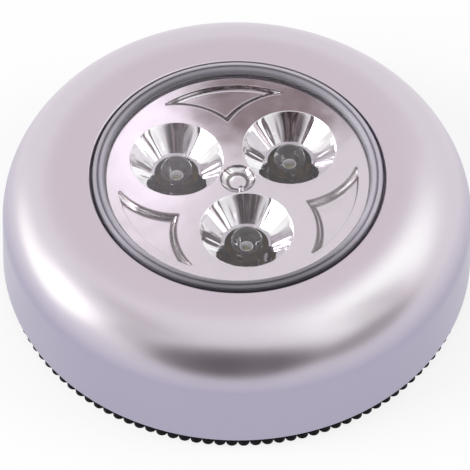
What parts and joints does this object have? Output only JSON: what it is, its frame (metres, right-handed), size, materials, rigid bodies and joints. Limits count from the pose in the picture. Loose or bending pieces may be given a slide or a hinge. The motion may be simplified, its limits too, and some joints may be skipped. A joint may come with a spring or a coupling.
{
  "type": "puck light",
  "caption": "Round battery puck light with a clear lens that is pressed to switch it, a silver twist-off housing and a black base with a scalloped edge.",
  "frame": {"origin": "middle of the mounting face, at the light's lowest point", "axes": "+Z out of the lens, away from the mounting face; -Y towards the front as pictured, through one of the three lamps"},
  "size_m": [0.072, 0.072, 0.022],
  "materials": {
    "black_plastic": "black moulded plastic with a fine matte grain",
    "foam_tape": "white double-sided foam tape",
    "silver_paint": "satin silver paint on moulded plastic",
    "white_plastic": "natural white moulded plastic",
    "zinc_steel": "zinc-plated steel",
    "red_insulation": "red wire insulation",
    "black_insulation": "black wire insulation",
    "clear_plastic": "clear polished acrylic",
    "plated_chrome": "bright vacuum-plated plastic",
    "board_laminate": "tan phenolic circuit board",
    "tinned_metal": "tinned steel",
    "switch_plastic": "black moulded plastic",
    "stem_plastic": "off-white moulded plastic",
    "resistor_lacquer": "tan lacquer with coloured bands",
    "contact_nickel": "nickel-plated steel",
    "cell_wrap": "plain printed plastic wrap in two colours over a steel can",
    "led_epoxy": "water-clear epoxy"
  },
  "bodies": {
    "base": {"base_cover": "black_plastic", "adhesive_pad": "foam_tape"},
    "housing": {"housing_shell": "silver_paint", "battery_chassis": "white_plastic", "chassis_screws": "zinc_steel", "wire_red": "red_insulation", "wire_black": "black_insulation", "contact_link_left": "contact_nickel", "contact_link_right": "contact_nickel", "contact_positive": "contact_nickel", "contact_negative": "contact_nickel", "cell_1": "cell_wrap", "contact_spring_1": "contact_nickel", "cell_2": "cell_wrap", "contact_spring_2": "contact_nickel", "cell_3": "cell_wrap", "contact_spring_3": "contact_nickel"},
    "light_engine": {"lens": "clear_plastic", "reflector": "plated_chrome", "led_board": "board_laminate", "led_leads": "tinned_metal", "switch_body": "switch_plastic", "switch_pins": "tinned_metal", "resistor": "resistor_lacquer", "resistor_leads": "tinned_metal", "board_screws": "zinc_steel", "led_1": "led_epoxy", "led_2": "led_epoxy", "led_3": "led_epoxy"},
    "stem": {"switch_stem": "stem_plastic"}
  },
  "joints": [
    {"name": "housing_twist", "type": "hinge", "parent": "base", "child": "housing", "pos_m": [0, 0, 0], "axis": [0, 0, 1], "range_deg": [0, 25]},
    {"name": "lens_push", "type": "slide", "parent": "housing", "child": "light_engine", "axis": [0, 0, -1], "range_m": [0, 0.0018], "stiffness_N_per_m": 700, "springref_m": -0.0015, "deforming": ["wire_red", "wire_black"]},
    {"name": "stem_slide", "type": "slide", "parent": "light_engine", "child": "stem", "axis": [0, 0, 1], "range_m": [0, 0.0018]}
  ],
  "couplings": [
    {"joint": "stem_slide", "follows": "lens_push", "ratio": 1}
  ]
}
